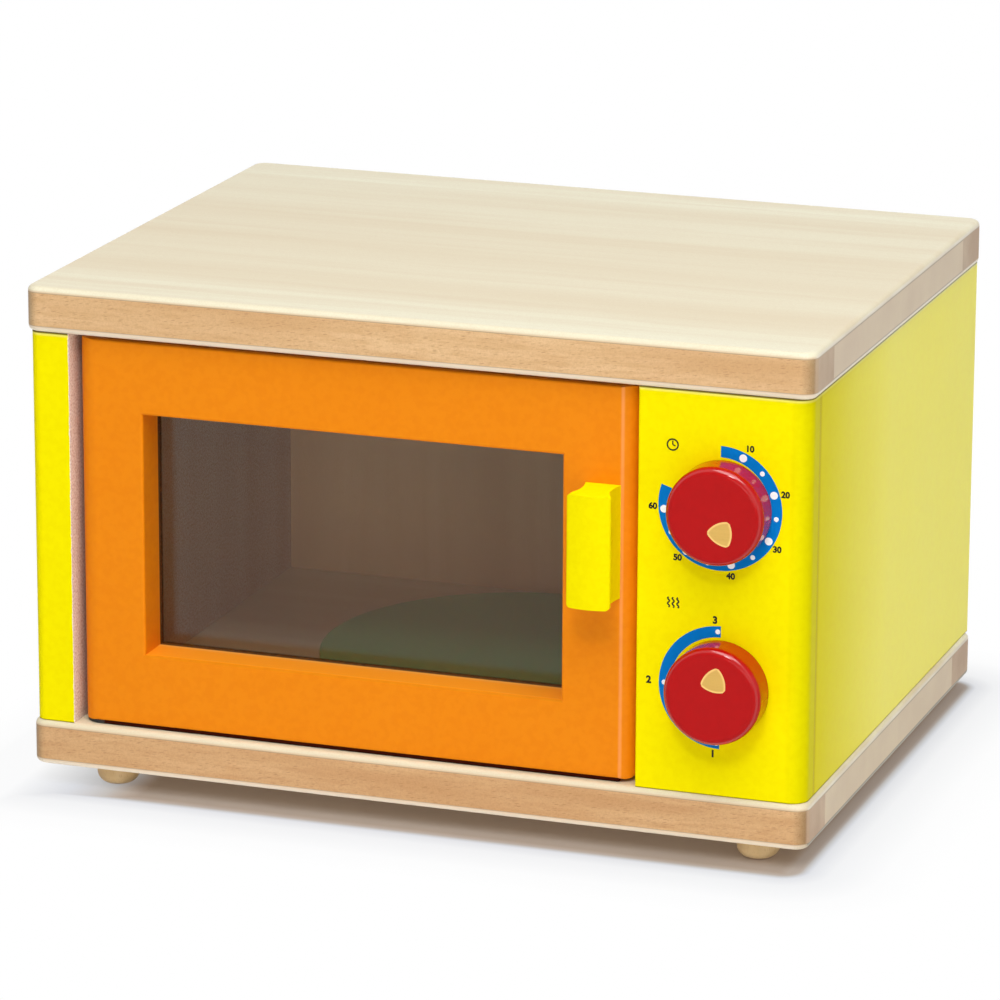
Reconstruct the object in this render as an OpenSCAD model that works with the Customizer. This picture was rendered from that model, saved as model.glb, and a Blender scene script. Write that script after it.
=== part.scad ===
// Wooden toy oven: two faced boards with painted panels between them, a hinged
// door with a dark pane, two turning knobs and a turntable in the oven chamber.
// Millimetres, +Z up, front towards -Y, origin on the table under the middle.

/* [Boards] */
// Width of the base board and the top board
board_w = 330; // [300:1:420]
// Depth of the base board and the top board
board_d = 254; // [240:1:340]
// Thickness of each board, with its facings
board_t = 18.7; // [16:0.1:26]
// Thickness of the pale facing on each side of a board
facing_t = 2.6; // [2:0.1:3.5]
// Rounding along the outer edges of a board
board_edge_r = 2.4; // [1:0.1:2.6]
// Radius of the board corners seen from above
board_corner_r = 6; // [4:0.5:12]
// Depth of the beech strip along the front of a board
front_strip_d = 27; // [24:0.5:40]
// Depth of the beech strip along the back of a board
back_strip_d = 32; // [15:0.5:40]

/* [Casing panels] */
// Height of the panels between the boards
panel_h = 163.5; // [150:0.5:220]
// Distance that the boards stand out past the panels
overhang = 1.5; // [0.5:0.1:4]
// Thickness of the side panels
side_t = 17.2; // [14:0.1:22]
// Rounding of the left panel's outer front edge
side_edge_r = 4.5; // [1:0.5:6]
// Thickness of the back panel
back_t = 8; // [6:0.5:12]
// Width of the step in the side panels that holds the back panel
back_step_w = 7; // [5:0.5:9]
// Width of the control panel
control_w = 69.6; // [60:0.2:90]
// Thickness of the control panel
control_t = 13.2; // [12:0.2:15]
// Rounding of the control panel's outer front corner
control_corner_r = 6.5; // [2:0.5:9]
// Small rounding along a painted edge
paint_edge_r = 1; // [0.6:0.1:1.4]

/* [Door] */
// Thickness of the door
door_t = 18; // [16:0.2:20]
// Distance from the front of the panels back to the front of the door
door_set_back = 2.5; // [0:0.1:3]
// Gap between the door and the left panel
door_hinge_gap = 2; // [1.5:0.1:4]
// Gap between the door and the control panel
door_latch_gap = 1.5; // [1:0.1:3]
// Gap above and below the door
door_end_gap = 1.5; // [1:0.1:3]
// Rounding of the door's hinge edge, round the hinge axis
door_hinge_r = 8; // [6:0.1:9]
// Rounding of the door's free edge
door_latch_r = 7; // [2:0.5:9]
// Rounding of the door's corners seen from the front
door_corner_r = 2.5; // [1:0.1:4]
// Width of the door's wood on the hinge side of the window
hinge_stile_w = 28.6; // [26:0.2:40]
// Width of the door's wood on the handle side of the window
latch_stile_w = 30.2; // [28:0.2:40]
// Height of the door's wood above and below the window
rail_w = 30; // [26:0.5:40]
// Rounding round the front edge of the window opening
window_edge_r = 1.2; // [0.6:0.1:2]
// Thickness of the window pane
pane_t = 2; // [1.5:0.1:3]
// Width of the step that the pane lies on
pane_step_w = 8; // [7:0.5:10]

/* [Handle] */
// Height of the handle
handle_h = 46; // [35:0.5:60]
// Width of the handle's foot where it meets the door
handle_foot_w = 14.6; // [13.6:0.2:16]
// Width of the handle's waist, its narrowest place
handle_waist_w = 12.2; // [11:0.2:12.8]
// Distance from the door to the handle's waist
handle_waist_l = 8.5; // [7:0.5:10]
// How far the handle stands out from the door
handle_reach = 20; // [17:0.5:21]
// Radius of the hollow on each side between waist and grip
handle_flare_r = 14; // [12:0.5:20]
// Radius of the bowed front of the grip, seen from above
handle_front_r = 25; // [20:1:40]
// Rounding of the grip's front edges
handle_edge_r = 1.2; // [0.6:0.1:1.6]
// Distance from the handle's middle to the door's free edge
handle_inset = 13.4; // [11:0.2:15]
// Height of the handle's middle above the base board
handle_rise = 99; // [70:0.5:120]

/* [Knobs] */
// Diameter of each knob
knob_d = 39.6; // [30:0.2:44]
// How far each knob stands out from the control panel
knob_h = 13; // [10:0.5:20]
// Rounding of the knob's front edge
knob_edge_r = 3; // [1:0.1:4]
// Height of the timer knob's axis above the base board
timer_rise = 117; // [100:0.5:130]
// Height of the power knob's axis above the base board
power_rise = 44.2; // [30:0.5:60]
// Direction of the timer's pointer, clockwise from the top
timer_angle = 151; // [0:1:360]
// Direction of the power knob's pointer, clockwise from the top
power_angle = 12; // [0:1:360]
// Width of the pale three-sided pointer in the knob's face
pointer_w = 10.2; // [7:0.2:12]
// Distance from the knob's axis to the middle of the pointer
pointer_offset = 7; // [5:0.2:10]
// How deep the pointer is let into the knob
pointer_t = 2; // [1.5:0.1:3]
// Diameter of the spindle behind each knob
spindle_d = 8; // [6:0.5:10]
// Diameter of the washer that holds a knob in place
knob_washer_d = 18; // [14:0.5:22]

/* [Turntable] */
// Diameter of the turntable
table_d = 168; // [140:1:184]
// Thickness of the turntable
table_t = 6; // [5:0.5:10]
// Diameter of the pin in the turntable's middle
table_pin_d = 8; // [6:0.5:10]
// Thickness of the spacer under the turntable
spacer_t = 3; // [2:0.5:6]
// Diameter of the spacer under the turntable
spacer_d = 40; // [25:1:60]

/* [Feet] */
// Diameter of a foot
foot_d = 17.5; // [14:0.5:24]
// Height of a foot below the base board
foot_h = 8; // [6:0.5:16]
// Rounding of a foot's lower edge
foot_edge_r = 5; // [2:0.5:6]
// Distance from a left foot's middle to the board's side
left_foot_inset = 33; // [18:0.5:50]
// Distance from a right foot's middle to the board's side
right_foot_inset = 23; // [18:0.5:50]
// Distance from a foot's middle to the board's front or back
foot_end_inset = 13; // [12:0.5:40]

/* [Small parts] */
// Diameter of the door's hinge pins
hinge_pin_d = 5; // [4:0.5:6]
// How deep a hinge pin is pressed into the door
hinge_pin_hold = 14; // [10:0.5:20]
// Outer diameter of the bushes that the hinge pins turn in
bush_d = 8; // [8:0.5:10]
// Length of a hinge bush
bush_l = 9; // [7:0.5:11]
// Diameter of the casing dowels
dowel_d = 6; // [5:0.5:8]
// Length of the casing dowels
dowel_l = 20; // [16:1:22]
// Diameter of the small wood screws
screw_d = 3; // [2.5:0.1:3.4]
// Head diameter of the small wood screws
screw_head_d = 6; // [5:0.2:6.4]
// Head height of the small wood screws
screw_head_h = 1.8; // [1.4:0.1:2.2]
// Length of a small wood screw under its head
screw_l = 14; // [12:0.5:16]
// Diameter of the catch magnet
magnet_d = 8; // [6:0.5:9]
// Thickness of the catch magnet
magnet_t = 4; // [3:0.5:6]
// Diameter of the steel catch plate
catch_plate_d = 10; // [8:0.5:10]
// Thickness of the steel catch plate
catch_plate_t = 1.4; // [1:0.1:2]
// Width of the post that stops the door
stop_post_w = 30; // [28:0.5:34]
// Depth of the post that stops the door
stop_post_d = 22; // [20:0.5:26]
// Overlap of the post behind the door's free edge
stop_lap = 13; // [12:0.5:14]

/* [Clearances] */
// Gap round a turning pin or spindle
turn_gap = 0.06; // [0.02:0.01:0.1]
// Gap round a dowel, pin or screw that is fixed
snug_gap = 0.03; // [0.01:0.01:0.08]
// Gap between faces that slide or swing past each other
face_gap = 0.3; // [0.2:0.05:0.5]

/* [Hidden] */

// How far a cut runs past the face that it opens
over = 1;
// Segments of a full circle
fine = 64;
// Segments of the rounded facing corners
facing_fine = 32;

// Levels, from the table up
base_z = foot_h;
base_top_z = base_z + board_t;
top_z = base_top_z + panel_h;
oven_h = top_z + board_t;

// Faces, from front to back; what stands out in front moves the boards back
proud = max(handle_reach - door_set_back, knob_h + face_gap) - overhang;
board_front_y = -(board_d - proud) / 2;
board_back_y = board_front_y + board_d;
panel_front_y = board_front_y + overhang;
panel_back_y = board_back_y - overhang;
chamber_back_y = panel_back_y - back_t;
control_back_y = panel_front_y + control_t;
core_front_y = board_front_y + front_strip_d;
core_back_y = board_back_y - back_strip_d;

// Faces, from left to right
panel_x = board_w / 2 - overhang;
chamber_x = panel_x - side_t;
control_left_x = panel_x - control_w;
control_mid_x = panel_x - control_w / 2;

// Thickness of a board's middle layer, and the facing's rounding within its thickness
core_t = board_t - 2 * facing_t;
facing_edge_r = min(board_edge_r, facing_t - 0.1);

// Door
door_left_x = -chamber_x + door_hinge_gap;
door_right_x = control_left_x - door_latch_gap;
door_w = door_right_x - door_left_x;
door_z = base_top_z + door_end_gap;
door_h = panel_h - 2 * door_end_gap;
door_front_y = panel_front_y + door_set_back;
door_back_y = door_front_y + door_t;
hinge_x = door_left_x + door_hinge_r;
hinge_y = door_front_y + door_hinge_r;
window_left_x = door_left_x + hinge_stile_w;
window_w = door_w - hinge_stile_w - latch_stile_w;
window_z = door_z + rail_w;
window_h = door_h - 2 * rail_w;
// The pane lies just below the door's back face
pane_sink = 0.2;
pane_seat_t = pane_t + pane_sink;
pane_w = window_w + 2 * (pane_step_w - snug_gap);
pane_h = window_h + 2 * (pane_step_w - snug_gap);

// Handle
handle_x = door_right_x - handle_inset;
handle_z = base_top_z + handle_rise;
// Middles of the hollow side and of the bowed front, seen from above
hollow_mid = [handle_waist_w / 2 + handle_flare_r, -handle_waist_l];
bow_mid = [0, handle_front_r - handle_reach];
// Middle of the edge's rounding, which runs smoothly into the hollow and the bowed front
edge_to_hollow = handle_flare_r + handle_edge_r;
edge_to_bow = handle_front_r - handle_edge_r;
mid_gap = norm(bow_mid - hollow_mid);
mid_line = (bow_mid - hollow_mid) / mid_gap;
edge_along = (pow(edge_to_hollow, 2) - pow(edge_to_bow, 2) + pow(mid_gap, 2)) / (2 * mid_gap);
edge_aside = sqrt(pow(edge_to_hollow, 2) - pow(edge_along, 2));
edge_mid = hollow_mid + edge_along * mid_line + edge_aside * [-mid_line[1], mid_line[0]];
grip_w = 2 * (edge_mid[0] + handle_edge_r);
handle_corner_r = 2;
handle_screw_pitch = handle_h / 2;
// Length of a handle screw, which reaches this far into the handle
handle_bite = 10;
handle_screw_l = door_t + handle_bite - screw_head_h;

// Door stop post and its catch
stop_left_x = door_right_x - stop_lap;
stop_right_x = stop_left_x + stop_post_w;
stop_face_y = door_back_y + face_gap;
stop_back_y = control_back_y + stop_post_d;
catch_x = door_right_x - stop_lap / 2;
catch_z = handle_z;
stop_screw_x = control_left_x + (stop_right_x - control_left_x) / 2;
stop_screw_pitch = panel_h / 3;
catch_screw_l = door_t - 5;
// Length of a stop post screw, which reaches this far into the control panel
stop_bite = 8;
stop_screw_l = stop_post_d + stop_bite - screw_head_h;

// Knobs
timer_z = base_top_z + timer_rise;
power_z = base_top_z + power_rise;
knob_back_y = panel_front_y - face_gap;
spindle_hold = knob_h / 2;
washer_t = 2;
knob_screw_l = 10;

// Turntable
table_z = base_top_z + spacer_t + face_gap;
table_y = (door_back_y + chamber_back_y) / 2;
table_bore_h = table_t - 2;
table_pin_hold = 10;
table_edge_r = 1;

// Feet; their stems end below the dowels and the hinge bush
foot_stem_d = 8;
foot_stem_l = board_t - max(dowel_l / 2, bush_l) - 1.5;
left_foot_x = -board_w / 2 + left_foot_inset;
right_foot_x = board_w / 2 - right_foot_inset;
front_foot_y = board_front_y + foot_end_inset;
back_foot_y = board_back_y - foot_end_inset;

// Dowels: half in the panel and half in the board
side_dowel_x = panel_x - side_t / 2;
side_dowel_pitch = (core_back_y - core_front_y) / 3;
side_dowel_y = [for (i = [-1 : 1]) (core_front_y + core_back_y) / 2 + i * side_dowel_pitch];
control_dowel_x = [control_left_x + control_w / 4, control_left_x + control_w * 3 / 4];
control_dowel_y = panel_front_y + control_t / 2;

// Back panel screws, three up each side
back_screw_x = chamber_x + back_step_w / 2;
back_screw_pitch = panel_h / 3;

// Colours
beech = [0.86, 0.71, 0.52];
pale_wood = [0.94, 0.89, 0.76];
bare_wood = [0.78, 0.68, 0.58];
yellow = [0.98, 0.90, 0.05];
orange = [0.94, 0.52, 0.08];
red = [0.76, 0.10, 0.10];
steel = [0.75, 0.76, 0.78];
smoked = [0.25, 0.22, 0.20, 0.6];
green = [0.30, 0.52, 0.30];
nylon = [0.90, 0.89, 0.85];
black_nylon = [0.08, 0.07, 0.06];

// Pieces of the boards

// Outline of a board seen from above
module board_plan() {
    inner_w = board_w - 2 * board_corner_r;
    inner_d = board_d - 2 * board_corner_r;
    translate([-inner_w / 2, board_front_y]) square([inner_w, board_d]);
    translate([-board_w / 2, board_front_y + board_corner_r]) square([board_w, inner_d]);
    for (x = [-1, 1], y = [board_front_y + board_corner_r, board_back_y - board_corner_r])
        translate([x * inner_w / 2, y]) circle(board_corner_r, $fn = fine);
}

// Middle layer of a board from one depth to another
module board_layer(z, from_y, to_y) {
    intersection() {
        translate([0, 0, z + facing_t]) linear_extrude(core_t) board_plan();
        translate([-board_w, from_y, z]) cube([2 * board_w, to_y - from_y, board_t]);
    }
}

// Pale facing sheet, lying with its rounded edge upwards
module facing_sheet() {
    steps = facing_fine / 4;
    profile = concat([[0, 0], [board_corner_r, 0]],
        [for (i = [0 : steps]) let (a = 90 * i / steps)
            [board_corner_r - facing_edge_r * (1 - cos(a)),
             facing_t - facing_edge_r * (1 - sin(a))]],
        [[0, facing_t]]);
    hull() {
        for (x = [-1, 1], y = [board_front_y + board_corner_r, board_back_y - board_corner_r])
            translate([x * (board_w / 2 - board_corner_r), y, 0])
                rotate_extrude($fn = facing_fine) polygon(profile);
    }
}

// Holes for the dowels that enter a board from the given level
module board_dowel_holes(z) {
    for (x = [-side_dowel_x, side_dowel_x], y = side_dowel_y)
        translate([x, y, z]) dowel_hole();
    for (x = control_dowel_x) translate([x, control_dowel_y, z]) dowel_hole();
}

// A dowel's hole, centred on the joint, with room for glue at its ends
module dowel_hole() {
    end_room = 0.5;
    cylinder(h = dowel_l + 2 * end_room, r = dowel_d / 2 + snug_gap, center = true, $fn = fine);
}

// Holes for the hinge bushes in a board's inner face
module bush_hole(z, up) {
    translate([hinge_x, hinge_y, up ? z - over : z - bush_l])
        cylinder(h = bush_l + over, r = bush_d / 2 + snug_gap, $fn = fine);
}

module foot_stem_holes() {
    for (x = [left_foot_x, right_foot_x], y = [front_foot_y, back_foot_y])
        translate([x, y, base_z - over])
            cylinder(h = foot_stem_l + over, r = foot_stem_d / 2 + snug_gap, $fn = fine);
}

module table_pin_hole() {
    translate([0, table_y, base_top_z - table_pin_hold])
        cylinder(h = table_pin_hold + over, r = table_pin_d / 2 + snug_gap, $fn = fine);
}

// Hole right through a piece that stands on the XY plane
module through_hole(depth, r) {
    translate([0, 0, -over]) cylinder(h = depth + 2 * over, r = r, $fn = fine);
}

module base_holes() {
    board_dowel_holes(base_top_z);
    bush_hole(base_top_z, false);
    foot_stem_holes();
    table_pin_hole();
}

module top_holes() {
    board_dowel_holes(top_z);
    bush_hole(top_z, true);
}

module base_core() {
    color(bare_wood) difference() {
        board_layer(base_z, core_front_y, core_back_y);
        base_holes();
    }
}

module base_front_strip() {
    color(beech) difference() {
        board_layer(base_z, board_front_y, core_front_y);
        base_holes();
    }
}

module base_back_strip() {
    color(beech) difference() {
        board_layer(base_z, core_back_y, board_back_y);
        base_holes();
    }
}

module base_upper_facing() {
    color(pale_wood) difference() {
        translate([0, 0, base_top_z - facing_t]) facing_sheet();
        base_holes();
    }
}

module base_lower_facing() {
    color(pale_wood) difference() {
        translate([0, 0, base_z + facing_t]) mirror([0, 0, 1]) facing_sheet();
        base_holes();
    }
}

module top_core() {
    color(bare_wood) difference() {
        board_layer(top_z, core_front_y, core_back_y);
        top_holes();
    }
}

module top_front_strip() {
    color(beech) difference() {
        board_layer(top_z, board_front_y, core_front_y);
        top_holes();
    }
}

module top_back_strip() {
    color(beech) board_layer(top_z, core_back_y, board_back_y);
}

module top_upper_facing() {
    color(pale_wood) translate([0, 0, oven_h - facing_t]) facing_sheet();
}

module top_lower_facing() {
    color(pale_wood) difference() {
        translate([0, 0, top_z + facing_t]) mirror([0, 0, 1]) facing_sheet();
        top_holes();
    }
}

// Panels between the boards

// Square bar along +X less a rounded one: cuts an edge of radius r round
module edge_cut(length, r) {
    difference() {
        translate([-over, -over, -over]) cube([length + 2 * over, r + over, r + over]);
        translate([-2 * over, r, r]) rotate([0, 90, 0]) cylinder(h = length + 4 * over, r = r, $fn = fine);
    }
}

// A side panel standing against the right side, with its step for the back panel
module side_blank(front_y) {
    translate([chamber_x, front_y, base_top_z]) cube([side_t, panel_back_y - front_y, panel_h]);
}

module back_step_cut() {
    translate([chamber_x - over, chamber_back_y, base_top_z - over])
        cube([back_step_w + over, back_t + over, panel_h + 2 * over]);
}

// Screws of the back panel: their places, from the panel's outer face inwards
module at_back_screws(x_sides = [-1, 1]) {
    for (x = x_sides, i = [-1 : 1])
        translate([x * back_screw_x, panel_back_y, base_top_z + panel_h / 2 + i * back_screw_pitch])
            rotate([90, 0, 0]) children();
}

module side_dowel_holes() {
    for (z = [base_top_z, top_z], y = side_dowel_y)
        translate([side_dowel_x, y, z]) dowel_hole();
}

module left_side_panel() {
    color(yellow) difference() {
        mirror([1, 0, 0]) difference() {
            side_blank(panel_front_y);
            back_step_cut();
            side_dowel_holes();
        }
        translate([-panel_x, panel_front_y, base_top_z + panel_h]) rotate([0, 90, 0])
            edge_cut(panel_h, side_edge_r);
        at_back_screws([-1]) sunk_screw_hole(screw_l);
    }
}

module right_side_panel() {
    color(yellow) difference() {
        side_blank(control_back_y);
        back_step_cut();
        side_dowel_holes();
        at_back_screws([1]) sunk_screw_hole(screw_l);
    }
}

module control_panel() {
    color(yellow) difference() {
        translate([control_left_x, panel_front_y, base_top_z]) cube([control_w, control_t, panel_h]);
        translate([control_left_x, panel_front_y, base_top_z + panel_h]) rotate([0, 90, 0])
            edge_cut(panel_h, paint_edge_r);
        translate([panel_x, panel_front_y, base_top_z]) rotate([0, -90, 0])
            edge_cut(panel_h, control_corner_r);
        for (z = [timer_z, power_z]) translate([control_mid_x, panel_front_y, z]) rotate([-90, 0, 0])
            through_hole(control_t, spindle_d / 2 + turn_gap);
        for (x = control_dowel_x, z = [base_top_z, top_z])
            translate([x, control_dowel_y, z]) dowel_hole();
        at_stop_screws() sunk_screw_hole(stop_screw_l);
    }
}

module back_panel() {
    color(bare_wood) difference() {
        translate([-chamber_x - back_step_w + snug_gap, chamber_back_y, base_top_z])
            cube([2 * (chamber_x + back_step_w - snug_gap), back_t, panel_h]);
        at_back_screws() sunk_screw_hole(screw_l);
    }
}

module casing_dowels() {
    color(beech) {
        for (x = [-side_dowel_x, side_dowel_x], y = side_dowel_y, z = [base_top_z, top_z])
            translate([x, y, z]) dowel();
        for (x = control_dowel_x, z = [base_top_z, top_z])
            translate([x, control_dowel_y, z]) dowel();
    }
}

module dowel() {
    cylinder(h = dowel_l, r = dowel_d / 2, center = true, $fn = fine);
}

// Small round-headed wood screw: head outside, shank along +Z
module screw(length) {
    slot_w = 0.8;
    slot_d = 0.9;
    difference() {
        union() {
            cylinder(h = length, r = screw_d / 2, $fn = fine);
            translate([0, 0, -screw_head_h]) cylinder(h = screw_head_h, r = screw_head_d / 2, $fn = fine);
        }
        for (a = [0, 90]) rotate(a)
            translate([-screw_head_d / 3, -slot_w / 2, -screw_head_h - slot_d])
                cube([screw_head_d * 2 / 3, slot_w, 2 * slot_d]);
    }
}

// Hole for such a screw, a little deeper than the screw is long
module screw_hole(length) {
    translate([0, 0, -over])
        cylinder(h = over + length + 2 * snug_gap, r = screw_d / 2 + snug_gap, $fn = fine);
}

// A screw or its hole, moved inwards until the head is flush
module sunk() {
    translate([0, 0, screw_head_h]) children();
}

module sunk_screw_hole(length) {
    sunk() screw_hole(length);
    translate([0, 0, -over])
        cylinder(h = over + screw_head_h, r = screw_head_d / 2 + snug_gap, $fn = fine);
}

module back_panel_screws() {
    color(steel) at_back_screws() sunk() screw(screw_l);
}

// Post behind the control panel's edge: stops the door and holds the magnet
module door_stop_post() {
    color(beech) difference() {
        translate([stop_left_x, control_back_y, base_top_z])
            cube([stop_post_w, stop_post_d, panel_h]);
        translate([stop_left_x - over, control_back_y - over, base_top_z - over])
            cube([control_left_x - stop_left_x + over, stop_face_y - control_back_y + over,
                  panel_h + 2 * over]);
        at_stop_screws() sunk_screw_hole(stop_screw_l);
        translate([catch_x, stop_face_y - over, catch_z]) rotate([-90, 0, 0])
            cylinder(h = over + magnet_t, r = magnet_d / 2 + snug_gap, $fn = fine);
    }
}

// Screws of the stop post: from its back face into the control panel
module at_stop_screws() {
    for (i = [-1 : 1])
        translate([stop_screw_x, stop_back_y, base_top_z + panel_h / 2 + i * stop_screw_pitch])
            rotate([90, 0, 0]) children();
}

module stop_post_screws() {
    color(steel) at_stop_screws() sunk() screw(stop_screw_l);
}

module catch_magnet() {
    color(steel) translate([catch_x, stop_face_y, catch_z]) rotate([-90, 0, 0])
        cylinder(h = magnet_t, r = magnet_d / 2, $fn = fine);
}

// Turned wooden foot with its stem
module foot(x, y) {
    color(beech) translate([x, y, 0]) {
        rotate_extrude($fn = fine) {
            translate([0, foot_edge_r]) square([foot_d / 2, foot_h - foot_edge_r]);
            square([foot_d / 2 - foot_edge_r, foot_h]);
            intersection() {
                translate([foot_d / 2 - foot_edge_r, foot_edge_r]) circle(foot_edge_r, $fn = fine);
                square([foot_d / 2, foot_h]);
            }
        }
        translate([0, 0, foot_h]) cylinder(h = foot_stem_l - snug_gap, r = foot_stem_d / 2, $fn = fine);
    }
}

module foot_front_left() { foot(left_foot_x, front_foot_y); }
module foot_front_right() { foot(right_foot_x, front_foot_y); }
module foot_back_left() { foot(left_foot_x, back_foot_y); }
module foot_back_right() { foot(right_foot_x, back_foot_y); }

// Flangeless bush, pressed into a board for a hinge pin
module hinge_bush(z) {
    color(nylon) translate([hinge_x, hinge_y, z]) difference() {
        cylinder(h = bush_l, r = bush_d / 2, $fn = fine);
        through_hole(bush_l, hinge_pin_d / 2 + turn_gap);
    }
}

module lower_hinge_bush() { hinge_bush(base_top_z - bush_l); }
module upper_hinge_bush() { hinge_bush(top_z); }

// Door

// Outline of the door seen from above: both front edges are rounded
module door_plan() {
    back_r = 1;
    translate([door_left_x + door_hinge_r, door_front_y])
        square([door_w - door_hinge_r - door_latch_r, door_t]);
    translate([door_left_x, door_front_y + door_hinge_r])
        square([door_hinge_r, door_t - door_hinge_r - back_r]);
    translate([door_left_x + back_r, door_back_y - back_r]) square([door_hinge_r - back_r, back_r]);
    translate([door_left_x + back_r, door_back_y - back_r]) circle(back_r, $fn = fine);
    translate([door_right_x - door_latch_r, door_front_y + door_latch_r])
        square([door_latch_r, door_t - door_latch_r - back_r]);
    translate([door_right_x - door_latch_r, door_back_y - back_r]) square([door_latch_r - back_r, back_r]);
    translate([door_right_x - back_r, door_back_y - back_r]) circle(back_r, $fn = fine);
    translate([hinge_x, hinge_y]) circle(door_hinge_r, $fn = fine);
    translate([door_right_x - door_latch_r, door_front_y + door_latch_r]) circle(door_latch_r, $fn = fine);
}

// Outline of the door seen from the front, drawn in the XY plane
module door_front() {
    translate([door_left_x + door_corner_r, door_z]) square([door_w - 2 * door_corner_r, door_h]);
    translate([door_left_x, door_z + door_corner_r]) square([door_w, door_h - 2 * door_corner_r]);
    for (x = [door_left_x + door_corner_r, door_right_x - door_corner_r],
         z = [door_z + door_corner_r, door_z + door_h - door_corner_r])
        translate([x, z]) circle(door_corner_r, $fn = fine);
}

module door_blank() {
    intersection() {
        translate([0, 0, door_z]) linear_extrude(door_h) door_plan();
        translate([0, door_back_y, 0]) rotate([90, 0, 0]) linear_extrude(door_t) door_front();
    }
}

// Opening of the given width, flared at the front, with its front in the XZ plane
module lip_plan(width) {
    difference() {
        translate([-width / 2 - window_edge_r, -over])
            square([width + 2 * window_edge_r, window_edge_r + over]);
        for (x = [-1, 1]) translate([x * (width / 2 + window_edge_r), window_edge_r])
            circle(window_edge_r, $fn = fine);
    }
}

// Rounding round the front edge of the window opening, mitred at its corners
module window_lip_cut() {
    long = window_w + window_h;
    translate([window_left_x + window_w / 2, door_front_y, window_z + window_h / 2]) intersection() {
        linear_extrude(long, center = true) lip_plan(window_w);
        rotate([0, 90, 0]) linear_extrude(long, center = true) lip_plan(window_h);
    }
}

module door_frame() {
    color(orange) difference() {
        door_blank();
        translate([window_left_x, door_front_y - over, window_z])
            cube([window_w, door_t + 2 * over, window_h]);
        translate([window_left_x - pane_step_w, door_back_y - pane_seat_t, window_z - pane_step_w])
            cube([window_w + 2 * pane_step_w, pane_seat_t + over, window_h + 2 * pane_step_w]);
        window_lip_cut();
        translate([door_left_x, door_front_y, door_z]) edge_cut(door_w, paint_edge_r);
        translate([door_left_x, door_front_y, door_z + door_h]) mirror([0, 0, 1])
            edge_cut(door_w, paint_edge_r);
        for (z = [door_z - over, door_z + door_h - hinge_pin_hold]) translate([hinge_x, hinge_y, z])
            cylinder(h = hinge_pin_hold + over, r = hinge_pin_d / 2 + snug_gap, $fn = fine);
        at_handle_screws() sunk_screw_hole(handle_screw_l);
        at_pane_screws() screw_hole(screw_l - pane_t);
        translate([catch_x, door_back_y - catch_plate_t, catch_z]) rotate([-90, 0, 0])
            cylinder(h = catch_plate_t + over, r = catch_plate_d / 2 + snug_gap, $fn = fine);
        at_catch_screw() screw_hole(catch_screw_l);
    }
}

module window_pane() {
    color(smoked) difference() {
        translate([window_left_x + window_w / 2 - pane_w / 2, door_back_y - pane_seat_t,
                   window_z + window_h / 2 - pane_h / 2])
            cube([pane_w, pane_t, pane_h]);
        at_pane_screws() screw_hole(screw_l);
    }
}

// Screws round the pane: from its back face into the door
module at_pane_screws() {
    mid_x = window_left_x + window_w / 2;
    mid_z = window_z + window_h / 2;
    side_x = window_w / 2 + pane_step_w / 2;
    side_z = window_h / 2 + pane_step_w / 2;
    for (x = [-1, 0, 1], z = [-1, 0, 1]) if (x != 0 || z != 0)
        translate([mid_x + x * side_x, door_back_y - pane_seat_t + pane_t, mid_z + z * side_z])
            rotate([90, 0, 0]) children();
}

module pane_screws() {
    color(steel) at_pane_screws() screw(screw_l - pane_t - 2 * snug_gap);
}

// Handle seen from above: its sides draw in to a waist and flare out to a bowed grip
module handle_plan() {
    // The side behind the waist is hollow too, from the waist to the foot's corner
    foot_out = (handle_foot_w - handle_waist_w) / 2;
    foot_r = (pow(foot_out, 2) + pow(handle_waist_l, 2)) / (2 * foot_out);
    // Where the edge's rounding meets the hollow side and the bowed front
    side_meet = edge_mid + handle_edge_r / edge_to_hollow * (hollow_mid - edge_mid);
    front_meet = edge_mid + handle_edge_r / edge_to_bow * (edge_mid - bow_mid);
    // The middle of the handle runs from the foot to just behind the bowed front
    mid_w = handle_waist_w / 2;
    translate([-mid_w / 2, -handle_reach + handle_edge_r]) square([mid_w, handle_reach - handle_edge_r]);
    difference() {
        translate([-handle_foot_w / 2 - over, -handle_waist_l])
            square([handle_foot_w + 2 * over, handle_waist_l]);
        for (x = [-1, 1]) translate([x * (handle_waist_w / 2 + foot_r), -handle_waist_l])
            circle(foot_r, $fn = 2 * fine);
    }
    difference() {
        translate([-side_meet[0], side_meet[1]])
            square([2 * side_meet[0], -handle_waist_l - side_meet[1]]);
        for (x = [-1, 1]) translate([x * hollow_mid[0], hollow_mid[1]])
            circle(handle_flare_r, $fn = 2 * fine);
    }
    intersection() {
        translate([-front_meet[0], -handle_reach - over])
            square([2 * front_meet[0], side_meet[1] + handle_reach + over]);
        translate(bow_mid) circle(handle_front_r, $fn = 2 * fine);
    }
    for (x = [-1, 1]) translate([x * edge_mid[0], edge_mid[1]])
        circle(handle_edge_r, $fn = fine);
}

// Outline of the handle's grip seen from the front, drawn in the XY plane
module handle_front() {
    w = grip_w;
    h = handle_h;
    r = handle_corner_r;
    translate([-w / 2 + r, -h / 2]) square([w - 2 * r, h]);
    translate([-w / 2, -h / 2 + r]) square([w, h - 2 * r]);
    for (x = [-1, 1], z = [-1, 1])
        translate([x * (w / 2 - r), z * (h / 2 - r)]) circle(r, $fn = fine);
}

module door_handle() {
    color(yellow) difference() {
        translate([handle_x, door_front_y, handle_z]) intersection() {
            translate([0, 0, -handle_h / 2]) linear_extrude(handle_h) handle_plan();
            rotate([90, 0, 0]) linear_extrude(handle_reach) handle_front();
        }
        at_handle_screws() sunk_screw_hole(handle_screw_l);
    }
}

// Handle screws: from the door's back face into the handle
module at_handle_screws() {
    for (i = [-1, 1]) translate([handle_x, door_back_y, handle_z + i * handle_screw_pitch / 2])
        rotate([90, 0, 0]) children();
}

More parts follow.
